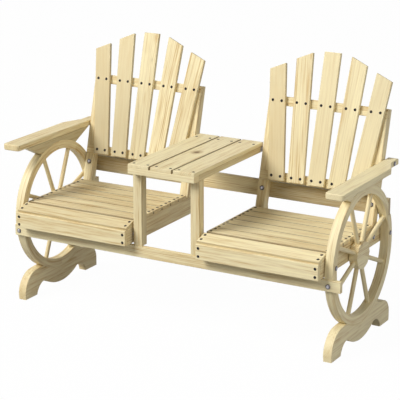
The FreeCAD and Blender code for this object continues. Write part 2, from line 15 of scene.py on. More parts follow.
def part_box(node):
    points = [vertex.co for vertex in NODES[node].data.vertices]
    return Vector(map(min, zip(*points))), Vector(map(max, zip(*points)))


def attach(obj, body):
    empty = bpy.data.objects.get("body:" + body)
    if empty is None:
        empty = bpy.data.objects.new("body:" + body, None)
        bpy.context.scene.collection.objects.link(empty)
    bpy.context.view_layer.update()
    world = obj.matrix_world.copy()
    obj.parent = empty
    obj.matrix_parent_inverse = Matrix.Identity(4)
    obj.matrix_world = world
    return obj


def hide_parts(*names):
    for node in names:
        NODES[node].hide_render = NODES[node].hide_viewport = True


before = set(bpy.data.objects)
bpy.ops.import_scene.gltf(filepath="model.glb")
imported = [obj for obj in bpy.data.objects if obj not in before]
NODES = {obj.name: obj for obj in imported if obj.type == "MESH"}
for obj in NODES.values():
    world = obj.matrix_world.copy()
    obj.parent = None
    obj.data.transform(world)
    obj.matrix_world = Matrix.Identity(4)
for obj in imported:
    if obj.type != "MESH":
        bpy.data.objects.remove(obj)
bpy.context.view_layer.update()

# %% [markdown]
# ## The camera
# The camera stands a good six metres away, in front of the bench and to its right, and looks down on it
# from above the backs. Such a view could be found by eye. Here the position, the two angles and the
# focal length were fitted to the bench's own corners instead, so that the far wheel shrinks as much as
# it should. The focal length is known in pixels, and the lens has the same share of the sensor's width
# as that has of the picture's.

# %% Place the camera
PICTURE = 400.0
SENSOR = 36.0
FOCAL = 1640.76
AZIMUTH = math.radians(29.772)
ELEVATION = math.radians(16.351)
EYE = Vector((3.0389, -5.3237, 2.2483))


def new_object(name, data):
    """A new object that holds the data, linked to the scene."""
    made = bpy.data.objects.new(name, data)
    bpy.context.scene.collection.objects.link(made)
    return made


def make_camera():
    """The back vector is (sin a cos e, -cos a cos e, sin e); the camera looks along its opposite."""
    data = bpy.data.cameras.new("camera")
    data.sensor_width = SENSOR
    data.lens = SENSOR * FOCAL / PICTURE
    camera = new_object("camera", data)
    camera.location = EYE
    camera.rotation_euler = (math.pi / 2 - ELEVATION, 0.0, AZIMUTH)
    bpy.context.scene.camera = camera
    return camera


camera = make_camera()
print("camera lens", round(camera.data.lens, 1), "mm")

# %% [markdown]
# ## Shader maths as Python
# Wood is mostly arithmetic on coordinates, and a tree of nodes written by hand hides it. The class
# below wraps one socket of one node, so that an expression such as `(x - 0.2) * 3` adds its Math nodes
# by itself. Any other node comes from one method, `node`, which takes the node's type, its settings
# and the values or links of its sockets.

# %% Wrap a socket
class Sock:
    """A socket of a node tree, with arithmetic."""

    def __init__(self, tree, socket):
        self.tree = tree
        self.socket = socket

    def node(self, kind, settings=None, values=None, out=0):
        """Add a node: settings are its properties or a ramp's stops, values go to its sockets."""
        made = self.tree.nodes.new(kind)
        for key, value in (settings or {}).items():
            if key == "stops":
                set_stops(made.color_ramp, value)
            else:
                setattr(made, key, value)
        for key, value in (values or {}).items():
            if isinstance(value, Sock):
                self.tree.links.new(value.socket, made.inputs[key])
            else:
                made.inputs[key].default_value = value
        return Sock(self.tree, made.outputs[out])

    def math(self, operation, other=0.0):
        """One Math node of this value, and of another where the operation takes two."""
        return self.node("ShaderNodeMath", {"operation": operation}, {0: self, 1: other})

    def __add__(self, other):
        return self.math("ADD", other)

    def __sub__(self, other):
        return self.math("SUBTRACT", other)

    def __mul__(self, other):
        return self.math("MULTIPLY", other)

    def __truediv__(self, other):
        return self.math("DIVIDE", other)

    def __pow__(self, other):
        return self.math("POWER", other)

    def __rsub__(self, other):
        return (self * -1.0) + other

    __radd__ = __add__
    __rmul__ = __mul__

    def step(self, low, high):
        """0 below low, 1 above high, and a smooth rise between them."""
        settings = {"interpolation_type": "SMOOTHSTEP", "clamp": True}
        values = {"Value": self, "From Min": low, "From Max": high}
        return self.node("ShaderNodeMapRange", settings, values)

    def axes(self):
        """The three parts of a vector."""
        made = self.tree.nodes.new("ShaderNodeSeparateXYZ")
        self.tree.links.new(self.socket, made.inputs[0])
        return [Sock(self.tree, made.outputs[i]) for i in range(3)]

    def vector(self, x, y, z):
        """A vector from three numbers or Socks."""
        return self.node("ShaderNodeCombineXYZ", None, {0: x, 1: y, 2: z})

    def dot(self, direction):
        """How far this vector reaches along a direction."""
        values = {0: self, 1: tuple(direction)}
        return self.node("ShaderNodeVectorMath", {"operation": "DOT_PRODUCT"}, values, 1)

    def noise(self, x, y, z, rough=0.5):
        """Smooth noise from 0 to 1, at a place whose parts are already scaled."""
        values = {"Vector": self.vector(x, y, z), "Scale": 1.0, "Detail": 2.0, "Roughness": rough}
        return self.node("ShaderNodeTexNoise", None, values)

    def dice(self):
        """Three random numbers from 0 to 1 that change only where this value does."""
        return self.node("ShaderNodeTexWhiteNoise", {"noise_dimensions": "1D"}, {"W": self}, 1).axes()

    def ramp(self, stops):
        """A colour from stops of (position, colour)."""
        return self.node("ShaderNodeValToRGB", {"stops": stops}, {0: self})

    def mix(self, factor, low, high):
        """A colour between two colours."""
        return self.node("ShaderNodeMix", {"data_type": "RGBA"}, {0: factor, 6: low, 7: high}, 2)


def set_stops(ramp, stops):
    """Give a ramp its stops, each a position and a colour."""
    while len(ramp.elements) < len(stops):
        ramp.elements.new(1.0)
    for element, (position, colour) in zip(ramp.elements, stops):
        element.position = position
        element.color = colour


def new_material(name):
    """A new material, its shader node and a Sock of the Object coordinates."""
    material = bpy.data.materials.new(name)
    material.use_nodes = True
    tree = material.node_tree
    tree.nodes.clear()
    shader = tree.nodes.new("ShaderNodeBsdfPrincipled")
    out = tree.nodes.new("ShaderNodeOutputMaterial")
    tree.links.new(shader.outputs[0], out.inputs["Surface"])
    coordinates = tree.nodes.new("ShaderNodeTexCoord")
    return material, shader, Sock(tree, coordinates.outputs["Object"])


def connect(shader, **links):
    """Link Socks to the shader's inputs, named with underscores for spaces."""
    for key, sock in links.items():
        sock.tree.links.new(sock.socket, shader.inputs[key.replace("_", " ")])


print("shader helper ready")

# %% [markdown]
# ## Light
# The bench stands in soft daylight from the front, the left and above, so that the sides which face
# right are much darker than the fronts, and the seats and the table lie between the two. One large
# square lamp makes that. It stands far off, so that both seats get the same light. A weaker lamp and a
# soft glow of the world, both from the right, keep the shade from going black. A picture of a sky
# could light it as well, but three plain parts are easier to turn up and down one at a time.

# %% Hang the lamps
def area_light(name, place, target, size, energy, colour):
    """A square lamp at a place, turned towards a target."""
    data = bpy.data.lights.new(name, "AREA")
    data.size = size
    data.energy = energy
    data.color = colour
    lamp = new_object(name, data)
    lamp.location = place
    lamp.rotation_euler = (Vector(target) - Vector(place)).to_track_quat("-Z", "Y").to_euler()


MIDDLE = (0.0, 0.0, 0.45)
area_light("key", (-7.7, -9.8, 10.9), MIDDLE, size=7.9, energy=2860.0, colour=(1.0, 0.99, 0.97))
area_light("side", (6.0, -3.0, 4.5), MIDDLE, size=2.6, energy=84.0, colour=(1.0, 0.99, 0.98))
print("lamps", len(bpy.data.lights))

# %% [markdown]
# The world is white where the camera or a reflection sees it. For all other rays it only glows round
# one direction: the strength falls with a power of the cosine of the angle to that direction.

# %% Paint the world
WHITE = (1.0, 1.0, 1.0, 1.0)
GLOW = Vector((1.0, 0.0, 0.15)).normalized()
GLOW_COLOUR = (1.0, 0.99, 0.97, 1.0)
GLOW_STRENGTH = 0.92
GLOW_POWER = 4.0


def seen_directly(tree):
    """1 for the camera's rays and for mirrored ones, and 0 for all the others."""
    path = tree.nodes.new("ShaderNodeLightPath")
    by_camera = Sock(tree, path.outputs["Is Camera Ray"])
    return by_camera.math("MAXIMUM", Sock(tree, path.outputs["Is Glossy Ray"]))


def make_world():
    """White to the camera and in reflections, and a soft lobe of light for the object."""
    world = bpy.data.worlds.new("studio")
    bpy.context.scene.world = world
    world.use_nodes = True
    tree = world.node_tree
    tree.nodes.clear()
    where = Sock(tree, tree.nodes.new("ShaderNodeTexCoord").outputs["Generated"])
    lobe = where.dot(GLOW).math("MAXIMUM", 0.0) ** GLOW_POWER
    glow = {"Color": GLOW_COLOUR, "Strength": lobe * GLOW_STRENGTH}
    fill = where.node("ShaderNodeBackground", None, glow)
    white = where.node("ShaderNodeBackground", None, {"Color": WHITE, "Strength": 1.0})
    mixed = where.node("ShaderNodeMixShader", None, {0: seen_directly(tree), 1: fill, 2: white})
    out = tree.nodes.new("ShaderNodeOutputWorld")
    tree.links.new(mixed.socket, out.inputs["Surface"])


make_world()
bpy.context.scene.view_settings.view_transform = "Standard"
print("world glows towards", [round(v, 2) for v in GLOW])

# %% [markdown]
# ## The floor
# A square plane would do, but its corners lie further off than its sides. The rim of a disc is as far
# away in every view, where it meets a world that is white as well. Its material looks white to the
# camera and in reflections, with a trace of the shadow kept by a Mix Shader. The light itself meets a
# mid grey, so that the floor throws little of it back under the seats.

# %% Make the floor
FLOOR_RADIUS, FLOOR_CORNERS = 30.0, 96
FLOOR_WHITE = 0.98
FLOOR_GREY = (0.35, 0.35, 0.35, 1.0)
FLOOR_PALE = (0.90, 0.90, 0.90, 1.0)


def make_floor():
    """A disc on the ground: points (r cos t, r sin t, 0) all the way round, closed by one face."""
    turns = np.linspace(0.0, 2.0 * np.pi, FLOOR_CORNERS, endpoint=False)
    points = FLOOR_RADIUS * np.stack([np.cos(turns), np.sin(turns), np.zeros_like(turns)], axis=1)
    mesh = bpy.data.meshes.new("floor")
    mesh.from_pydata(points.tolist(), [], [list(range(FLOOR_CORNERS))])
    floor = new_object("floor", mesh)
    return floor


def floor_material():
    """Grey paint for light, and almost white for what the camera and the gloss see."""
    material, shader, place = new_material("floor_paint")
    shader.inputs["Roughness"].default_value = 0.9
    tree = place.tree
    seen = seen_directly(tree)
    connect(shader, Base_Color=place.mix(seen, FLOOR_GREY, FLOOR_PALE))
    white = place.node("ShaderNodeEmission", None, {"Color": WHITE, "Strength": 1.0})
    values = {0: seen * FLOOR_WHITE, 1: Sock(tree, shader.outputs[0]), 2: white}
    mixed = place.node("ShaderNodeMixShader", None, values)
    out = next(n for n in tree.nodes if n.type == "OUTPUT_MATERIAL")
    tree.links.new(mixed.socket, out.inputs["Surface"])
    return material


floor = make_floor()
floor.data.materials.append(floor_material())
print("floor", floor.name)

# %% [markdown]
# ## Where the grain runs
# A board's pattern belongs to the board: it runs along the length, whichever way the board lies or
# leans. So each board gets a frame of its own, with its origin in the board's middle and three unit
# vectors: along the grain, across the width and through the thickness. Turned objects with a texture
# each would do the same, but here every mesh stays where the construction put it.

# %% Give each straight board a frame
X, Y, Z = Vector((1.0, 0.0, 0.0)), Vector((0.0, 1.0, 0.0)), Vector((0.0, 0.0, 1.0))
LEAN = math.radians(14.73)
NOSE_TILT = math.radians(15.4)
FAN = 0.06015
LEANING = Vector((0.0, math.sin(LEAN), math.cos(LEAN)))
NOSE = Vector((0.0, math.cos(NOSE_TILT), math.sin(NOSE_TILT)))
SIDES = {"left": -1.0, "right": 1.0}


def board_frames():
    """Node name: (along the grain, across the width), for every straight board."""
    frames = {"front_rail": (X, Z), "rear_rail": (X, Z), "table_front_bearer": (X, Z),
              "table_rear_bearer": (X, Z), "table_left_leg": (Z, X), "table_right_leg": (Z, X),
              "table_left_apron": (Y, Z), "table_right_apron": (Y, Z), "joint_dowels": (Z, X)}
    for part in ("left", "middle", "right"):
        frames["table_slat_" + part] = (Y, X)
    for side in SIDES:
        for part, along, across in (
                ("seat_apron", X, Z), ("front_seat_slat", X, NOSE), ("armrest", Y, X),
                ("arm_support", Y, Z), ("upper_cross_rail", X, LEANING), ("lower_cross_rail", X, LEANING),
                ("inner_side_rail", Y, Z), ("outer_side_rail", Y, Z), ("inner_post", LEANING, X),
                ("outer_post", LEANING, X), ("hub_upper", Y, Z), ("hub_lower", Y, Z)):
            frames["%s_%s" % (side, part)] = (along, across)
        for index in range(1, 6):
            along = (LEANING + X * (FAN * (index - 3))).normalized()
            across = (X - along * X.dot(along)).normalized()
            frames["%s_back_slat_%d" % (side, index)] = (along, across)
    return frames


FRAMES = board_frames()
print("straight boards", len(FRAMES))

# %% [markdown]
# ## Pine
# A board is a slice of a trunk, and its pattern is where the slice meets the yearly rings. So the rings
# are worked out in space: the distance from a pith line that runs nearly along the board, bent a little
# by slow noise, is cut into rings, and each ring goes from pale early wood to a thin, darker line of
# late wood. A pith far to the side gives the straight fine lines of a quarter-sawn board; a pith close
# behind the face, and not quite parallel to it, gives tall arches. Finer streaks, broad bands, a few
# knots and a darker end grain lie on top of that.

# %% Mix the colours of pine and find a board's own coordinates
CREAM = (0.945, 0.840, 0.525, 1.0)
PALE = (0.840, 0.725, 0.450, 1.0)
GOLD = (0.740, 0.580, 0.305, 1.0)
BROWN = (0.540, 0.365, 0.155, 1.0)
RESIN = (0.560, 0.350, 0.120, 1.0)
KNOT_RING = (0.420, 0.260, 0.095, 1.0)
KNOT_DARK = (0.150, 0.085, 0.035, 1.0)
# The next colour is painted shade: it darkens the sides of boards that face a narrow gap.
PAINTED_GAP_SHADE = (0.160, 0.100, 0.045, 1.0)
# Painted shade: the colour that boards in shade are dulled towards.
PAINTED_SHADE = (0.430, 0.365, 0.220, 1.0)


def local(place, name):
    """The coordinates of a place in a board's own frame."""
    along, across = FRAMES[name]
    through = along.cross(across)
    lowest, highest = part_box(name)
    origin = (lowest + highest) / 2
    return [place.dot(axis) - origin.dot(axis) for axis in (along, across, through)]


print("wood from", PALE[:3], "to", BROWN[:3])

# %% [markdown]
# A knot is a branch that the trunk grew round, so it does two things: it pushes the rings aside, and it
# shows as an oval of its own, long along the grain. A smudge of resin is only a soft stain. Each is
# worked out from the distance to its middle, and as many as a board has are laid one over the other.

# %% Draw knots and smudges
PULL_OVAL, KNOT_OVAL = 0.55, 0.72


def knot_pull(along, across, knots):
    """How far the knots push the rings aside: each by radius * exp(-distance / (2.2 radius))."""
    total = 0.0
    for knot_along, knot_across, radius, _ in knots:
        near = ((along - knot_along) * PULL_OVAL) ** 2.0 + (across - knot_across) ** 2.0
        total = (near.math("SQRT") / (-2.2 * radius)).math("EXPONENT") * radius + total
    return total


def draw_knots(place, colour, along, across, knots):
    """A knot is an oval of fine rings that darkens towards its heart."""
    for knot_along, knot_across, radius, dark in knots:
        wobble = place.noise(along * 70.0, across * 70.0, radius * 500.0) - 0.5
        oval = ((along - knot_along) * KNOT_OVAL) ** 2.0 + (across - knot_across) ** 2.0
        size = oval.math("SQRT") / radius + wobble * 0.5
        rings = (size * 9.0).math("SINE") * 0.15 + 0.85
        colour = place.mix((1.0 - size.step(0.55, 1.3)) * rings * (0.75 * dark), colour, KNOT_RING)
        colour = place.mix((1.0 - size.step(0.15, 0.75)) * dark, colour, KNOT_DARK)
    return colour


def draw_smudges(place, colour, along, across, smudges):
    """A soft streak of resin: it fades as exp(-(a / long)^2 - (c / wide)^2) from its middle."""
    for middle_along, middle_across, long, wide, dark in smudges:
        a = (along - middle_along) / long
        c = (across - middle_across) / wide
        colour = place.mix(((a * a + c * c) * -1.0).math("EXPONENT") * dark, colour, RESIN)
    return colour


print("knots and smudges ready")

# %% [markdown]
# All the other patterns are noise, drawn out along the grain: slow waves bend the pith line, and bands,
# lines, streaks and clouds darken the wood, each by its own share. An image wrapped round every board
# would be quicker, but its lines wouldn't meet at the edges. Here each side shows its own cut through
# the same rings.

# %% Describe the wood
STRETCH = {"waves": (3.2, 6.0), "ragged": (7.0, 45.0), "bands": (1.3, 34.0),
           "lines": (5.5, 130.0), "streaks": (15.0, 380.0), "clouds": (2.6, 9.0)}
DARKENS = {"clear rings": 0.60, "all rings": 0.15, "bands": 0.42, "lines": 1.30, "streaks": 0.75,
           "clouds": 0.35, "end": 0.10, "luck": 0.10}
PLAIN_TONE, END_CALM, PAINTED_GAP_SHARE = 0.38, 0.75, 0.60
WANDER_ACROSS, WANDER_THROUGH = 0.022, 0.018


def drawn_out(place, kind, start, across, through, shift=None, rough=0.5):
    """Noise from -0.5 to 0.5 that changes as often in a metre, along and across, as STRETCH says."""
    lengthwise, crosswise = STRETCH[kind]
    deep = through * crosswise
    if shift is not None:
        deep = deep + shift
    return place.noise(start * lengthwise, across * crosswise, deep, rough) - 0.5


def wood(place, grain, luck, pith, ring=0.0045, contrast=0.5, tone=0.0, fibre=1.0, knots=(), smudges=(),
         end=None, gap_shade=None, painted_shade=None):
    """Colour, roughness and height of pine at a place.

    The rings are the distance to the pith over the ring width: sqrt(a^2 + b^2) / ring, with a and b
    measured from a pith line (across, behind the middle, slope) that waves along the board. luck is
    three random numbers, tone darkens the board, fibre scales its streaks, a knot is (along, across,
    radius, darkness) and a smudge is (along, across, length, width, darkness). end is 1 on sawn ends.
    The gap mask paints shade on the sides that face a narrow gap, and the shade mask paints shade
    where it is 1.
    """
    along, across, through = grain
    start = along + (luck[0] * 9.0)
    here = (start, across, through)
    waves = drawn_out(place, "waves", *here)
    a = across - pith[0] + waves * WANDER_ACROSS
    b = through - pith[1] + along * pith[2] + waves * WANDER_THROUGH
    far = (a * a + b * b).math("SQRT")
    if knots:
        far = far + knot_pull(along, across, knots) * 0.9
    far = far + drawn_out(place, "ragged", *here) * (0.45 * ring)
    years = far / ring
    phase = years.math("FRACT")
    late = phase.step(0.15, 0.90) * (1.0 - phase.step(0.90, 1.0))
    clear = place.noise(years * 0.37, start * 0.8, luck[1] * 7.0, 0.6).step(0.38, 0.66)
    bands = drawn_out(place, "bands", *here, shift=luck[1] * 5.0)
    lines = drawn_out(place, "lines", *here)
    streaks = drawn_out(place, "streaks", *here, rough=0.6)
    clouds = drawn_out(place, "clouds", *here)
    if end is not None:
        calm = 1.0 - end * END_CALM
        lines = lines * calm
        streaks = streaks * calm
    amount = late * clear * (DARKENS["clear rings"] * contrast) + late * (DARKENS["all rings"] * contrast)
    amount = amount + bands * (DARKENS["bands"] * fibre) + lines * (DARKENS["lines"] * fibre)
    amount = amount + streaks * (DARKENS["streaks"] * fibre) + clouds * DARKENS["clouds"]
    amount = amount + luck[2] * DARKENS["luck"] + (PLAIN_TONE + tone)
    if end is not None:
        amount = amount + end * DARKENS["end"]
    colour = amount.ramp(((0.0, CREAM), (0.40, PALE), (0.70, GOLD), (1.0, BROWN)))
    colour = draw_knots(place, colour, along, across, knots)
    colour = draw_smudges(place, colour, along, across, smudges)
    # Painted shade: the sides that face a narrow gap are darkened in the colour.
    if gap_shade is not None:
        colour = place.mix(gap_shade * PAINTED_GAP_SHARE, colour, PAINTED_GAP_SHADE)
    # Painted shade: the wood is dulled towards a darker colour where the shade mask is above 0.
    if painted_shade is not None:
        colour = place.mix(painted_shade, colour, PAINTED_SHADE)
    rough = streaks * 0.20 + late * (0.08 * contrast) + 0.50
    height = late * (-0.5 * contrast) + streaks
    return colour, rough, height


print("patterns", sorted(STRETCH))

# %% [markdown]
# Planed pine that stands outdoors is dull. Its relief is the grain itself: the late wood stands a trace
# lower than the rest, which a Bump node shows without any more faces.

# %% Finish the surface
RELIEF, RELIEF_STRENGTH = 0.0005, 0.20


def finish(place, shader, surface):
    """Bare, planed softwood: dull, with a relief that follows the grain."""
    colour, rough, height = surface
    values = {"Strength": RELIEF_STRENGTH, "Distance": RELIEF, "Height": height}
    bump = place.node("ShaderNodeBump", None, values)
    connect(shader, Base_Color=colour, Roughness=rough, Normal=bump)
    shader.inputs["Specular IOR Level"].default_value = 0.30


def dress(name, material):
    """Give a carried-over node its material."""
    mesh = NODES[name].data
    mesh.materials.clear()
    mesh.materials.append(material)


print("relief", RELIEF * 1000, "mm")

# %% [markdown]
# ## The boards' own characters
# Most boards are plain: straight fine grain, each with its own pith far to one side, drawn from a seed.
# Others have arches, a flame of gold, a knot or paler wood. Chance would never put those on the right
# boards, so they are described one by one: the pith, the width and strength of the rings, how much
# fibre shows, the tone, knots, smudges, and the share of painted shade at the upper and the lower end.
# The paler tone of the right-hand arm and hub is painted light on their sides that face right.

# %% Choose a figure for each board
PLAIN = {"fibre": 0.25, "contrast": 0.25, "pith": (0.16, -0.05, 0.010), "ring": 0.0042}
CHARACTERS = {
    # Each shade pair is painted shade: its share at the upper and the lower end of the board.
    "left_back_slat_1": dict(PLAIN, tone=0.02, painted_shade=(0.12, 0.60)),
    "left_back_slat_2": dict(PLAIN, fibre=0.35, tone=0.02, painted_shade=(0.05, 0.50)),
    "left_back_slat_3": dict(
        pith=(-0.034, -0.022, 0.045), ring=0.0075, contrast=0.7, fibre=1.1, tone=-0.14, painted_shade=(0.0, 0.36),
        knots=((0.150, 0.017, 0.011, 0.12),),
        smudges=((0.243, 0.024, 0.020, 0.012, 0.50), (-0.005, 0.005, 0.030, 0.006, 0.45),
                 (-0.120, -0.016, 0.100, 0.007, 0.30), (0.200, -0.010, 0.030, 0.012, 0.22))),
    "left_back_slat_4": dict(
        pith=(0.036, -0.020, 0.040), ring=0.0075, contrast=0.8, fibre=1.1, tone=-0.22,
        smudges=((-0.030, -0.014, 0.055, 0.006, 0.50), (0.120, 0.008, 0.090, 0.004, 0.28))),
    "left_back_slat_5": dict(
        pith=(0.045, -0.030, 0.050), ring=0.0090, contrast=0.6, fibre=1.2, tone=-0.12, painted_shade=(0.0, 0.20),
        smudges=((-0.015, -0.010, 0.040, 0.007, 0.45), (0.080, -0.022, 0.060, 0.006, 0.30))),
    "right_back_slat_1": dict(PLAIN, painted_shade=(0.08, 0.32)),
    "right_back_slat_2": dict(
        pith=(0.028, -0.022, -0.045), ring=0.0080, contrast=1.0, fibre=0.9, tone=-0.22, painted_shade=(0.0, 0.10),
        smudges=((0.120, 0.022, 0.080, 0.006, 0.60), (-0.020, 0.026, 0.060, 0.005, 0.45),
                 (-0.150, -0.004, 0.070, 0.008, 0.35), (-0.110, 0.018, 0.050, 0.004, 0.40))),
    "right_back_slat_3": dict(
        pith=(0.09, -0.03, 0.02), ring=0.0060, contrast=0.25, fibre=0.5, tone=-0.10, painted_shade=(0.0, 0.20)),
    "right_back_slat_4": dict(
        pith=(-0.042, -0.026, 0.035), ring=0.008, contrast=0.55, fibre=0.9, tone=-0.2, painted_shade=(0.0, 0.2),
        smudges=((0.090, -0.026, 0.110, 0.006, 0.40),)),
    "right_back_slat_5": dict(
        pith=(0.08, -0.06, 0.03), ring=0.0070, contrast=0.3, fibre=0.6, tone=-0.12, painted_shade=(0.12, 0.14)),
    "table_slat_left": dict(tone=-0.22),
    "table_slat_middle": dict(tone=-0.14, contrast=0.5, knots=((0.004, -0.003, 0.023, 0.85),)),
    "table_slat_right": dict(tone=-0.22),
    "table_front_bearer": dict(tone=-0.16),
    "table_left_apron": dict(tone=-0.10),
    "table_right_apron": dict(painted_shade=(0.32, 0.32)),
    "table_left_leg": dict(tone=-0.06, contrast=0.3, painted_shade=(0.10, 0.10)),
    "table_right_leg": dict(tone=0.06, painted_shade=(0.12, 0.12)),
    "left_seat_apron": dict(pith=(0.110, -0.030, 0.015), contrast=0.15, fibre=1.2, tone=-0.02),
    "right_seat_apron": dict(tone=-0.16, contrast=0.2, fibre=1.3),
    "left_front_seat_slat": dict(contrast=0.15, fibre=1.2, painted_shade=(0.15, 0.15)),
    "right_front_seat_slat": dict(tone=-0.14, contrast=0.3, fibre=1.4),
    "left_inner_side_rail": dict(contrast=0.25, painted_shade=(0.10, 0.10)),
    "left_arm_support": dict(painted_shade=(0.55, 0.55)),
    # Painted light: the right-hand armrest, arm support and hub are paler, for light on their right
    # sides.
    "right_armrest": dict(tone=-0.24, contrast=0.3),
    "right_arm_support": dict(tone=-0.22, contrast=0.3),
    "right_hub_upper": dict(tone=-0.05, knots=((-0.022, 0.026, 0.006, 0.70),)),
    "right_hub_lower": dict(tone=-0.26),
    "front_rail": dict(pith=(0.070, -0.030, 0.010), ring=0.0050, contrast=0.5),
    "rear_rail": dict(tone=-0.12, contrast=0.6),
}


def character(name, seed):
    """A board's description: plain straight grain from the seed, changed by what is special to it."""
    draw = np.random.default_rng(seed)
    side = 1.0 if draw.uniform() < 0.5 else -1.0
    pith = (side * draw.uniform(0.10, 0.22), -draw.uniform(0.02, 0.10), draw.uniform(-0.02, 0.02))
    facts = {"pith": pith, "ring": draw.uniform(0.0040, 0.0062), "contrast": draw.uniform(0.35, 0.6),
             "fibre": draw.uniform(1.1, 1.4), "tone": 0.0}
    facts.update(CHARACTERS.get(name, {}))
    facts["luck"] = tuple(draw.uniform(0.0, 1.0, 3))
    return facts


print("described boards", len(CHARACTERS))

# %% [markdown]
# ## Painted shade in the gaps and on boards, and sawn ends
# Three masks go over the wood: sides that face a narrow gap, and the rear rail's ends behind the backs,
# get painted shade; boards low in the backs, under the arms and the table, and some sides that face
# right get painted shade as well; and sawn ends show the ends of the fibres, so their fine lines are
# weaker. The lamps alone darken gaps too, but a mask of a few nodes makes it even with few samples.

# %% Make the masks
TABLE_SLAT_HALF, NOSE_HALF, BACK_HALF = 0.0458, 0.03125, 0.27
TABLE_GAPS = {"left": 1.0, "middle": 0.0, "right": -1.0}
# Painted shade: the rear rail's ends behind the backs, and the left table leg's sides that face right.
BEHIND_BACKS = (0.13, 0.25)
LEG_SIDE_PAINTED_SHADE = 0.35


def face_mask(place, towards):
    """1 on faces that look along a direction, or straight back, from the object's own normals."""
    coordinates = place.socket.node
    normal = Sock(place.tree, coordinates.outputs["Normal"])
    return normal.dot(towards).math("ABSOLUTE").step(0.6, 0.8)


def near_edge(off_middle, half, begins, full=0.0008):
    """0 inside a board, rising to 1 over the last millimetres before an edge half a width away."""
    return off_middle.step(half - begins, half - full)


def painted_gap_shade_mask(name, along, across):
    """Painted shade: 1 where a board faces a narrow gap or lies behind the backs; None for all others."""
    if name.startswith("table_slat"):
        towards = TABLE_GAPS[name.split("_")[-1]]
        off_middle = across * towards if towards else across.math("ABSOLUTE")
        return near_edge(off_middle, TABLE_SLAT_HALF, 0.0022)
    # Painted shade along the front seat slat's lower front edge.
    if name.endswith("front_seat_slat"):
        return near_edge(across * -1.0, NOSE_HALF, 0.0016, 0.0004) * 0.5
    # Painted shadow: the rear rail's ends behind the backs are darkened.
    if name == "rear_rail":
        return along.math("ABSOLUTE").step(*BEHIND_BACKS) * 0.75
    return None


def painted_shade_mask(place, name, along, shares):
    """Painted shade, going smoothly from the lower end's share to the upper end's; None without shares.
    """
    if shares is None:
        return None
    upper, lower = shares
    painted_shade = along.step(-BACK_HALF, BACK_HALF) * (upper - lower) + lower
    # Painted shade: the left table leg's sides that face right are darker.
    if name == "table_left_leg":
        painted_shade = painted_shade + face_mask(place, X) * LEG_SIDE_PAINTED_SHADE
    return painted_shade


print("gaps on", sorted(TABLE_GAPS), "table slats")

# %% Dress the straight boards
# Painted light: the front rail is paler at its ends under the seats, against the aprons' shadow.
BETWEEN_SEATS = (0.14, 0.20)
FRONT_RAIL_MIDDLE, FRONT_RAIL_ENDS = 0.06, -0.18


def pine(name, seed):
    """The pine of one straight board."""
    facts = character(name, seed)
    material, shader, place = new_material("pine_" + name)
    luck = facts.pop("luck")
    grain = local(place, name)
    gap_shade = painted_gap_shade_mask(name, grain[0], grain[1])
    painted_shade = painted_shade_mask(place, name, grain[0], facts.pop("painted_shade", None))
    # Painted light: paler ends under the seats lift the shadow of the seat aprons.
    if name == "front_rail":
        past_middle = grain[0].math("ABSOLUTE").step(*BETWEEN_SEATS)
        facts["tone"] = past_middle * (FRONT_RAIL_ENDS - FRONT_RAIL_MIDDLE) + FRONT_RAIL_MIDDLE
    sawn = face_mask(place, FRAMES[name][0])
    finish(place, shader, wood(place, grain, luck, end=sawn, gap_shade=gap_shade, painted_shade=painted_shade, **facts))
    return material


for number, name in enumerate(sorted(FRAMES)):
    dress(name, pine(name, 100 + number))
print("boards dressed", len(FRAMES))

# %% [markdown]
# The six seat slats of a seat are one node, but six boards. Their number in the row is the whole part
# of the distance from the rear edge over the pitch. It rolls the dice for each board, and it also
# gives each its own middle, so that no line of the grain runs on over a gap.

# %% Dress the seat slats
SLAT_REAR, SLAT_PITCH, SLAT_WIDE = 0.1467, 0.0638, 0.0600
SLAT_LEVEL = 0.403
SEAT_TONES = {"left": 0.0, "right": -0.12}


def seat_pine(name, seed, tone):
    """Six boards in one material: board number = floor((rear edge - y) / pitch)."""
    material, shader, place = new_material("pine_" + name)
    x, y, z = place.axes()
    from_rear = (SLAT_REAR - y) / SLAT_PITCH
    lot = from_rear.math("FLOOR")
    across = (from_rear - lot) * SLAT_PITCH - SLAT_WIDE / 2
    luck = (lot + float(seed)).dice()
    lowest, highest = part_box(name)
    along = x - (lowest.x + highest.x) / 2
    pith = (luck[0] * 0.30 - 0.15, luck[1] * -0.06 - 0.02, 0.02)
    # Painted shade: the seat slats' sides in the gaps between them are darkened.
    gap_shade = near_edge(across.math("ABSOLUTE"), SLAT_WIDE / 2, 0.0026)
    surface = wood(place, (along, across, z - SLAT_LEVEL), luck, pith, ring=0.0052, tone=tone, fibre=1.3,
                   end=face_mask(place, X), gap_shade=gap_shade)
    finish(place, shader, surface)
    return material


for number, (side, tone) in enumerate(SEAT_TONES.items()):
    dress(side + "_seat_slats", seat_pine(side + "_seat_slats", 300 + 20 * number, tone))
print("seat slats dressed")

# %% [markdown]
# ## Wheels
# Each wheel is a ring of two sawn halves round an eight-sided hub. The grain of a curved piece is
# described in polar coordinates: the angle times the radius runs along it, and the radius across it.
# The angle is measured from the middle of each half, so that it has no jump inside a piece. The spokes
# are turned rods, so their grain follows the radius, and the angle only tells which rod it is.

# %% Dress the wheels
WHEEL_X, WHEEL_Y, WHEEL_Z = 0.6785, -0.007, 0.340
RIM_IN, RIM_MIDDLE, RIM_OUT = 0.230, 0.247, 0.264
SPOKES = 8
# Painted light: the right-hand wheel and foot are paler, for the light on their sides that face right.
WHEEL_TONE_PAINTED_LIGHT = {-1.0: 0.0, 1.0: -0.24}


def polar(place, towards):
    """x, the angle from a direction (+1 rear, -1 front) in the wheel's plane, and the radius."""
    x, y, z = place.axes()
    level = (y - WHEEL_Y) * towards
    up = z - WHEEL_Z
    angle = up.math("ARCTAN2", level)
    radius = (level * level + up * up).math("SQRT")
    return x, angle, radius


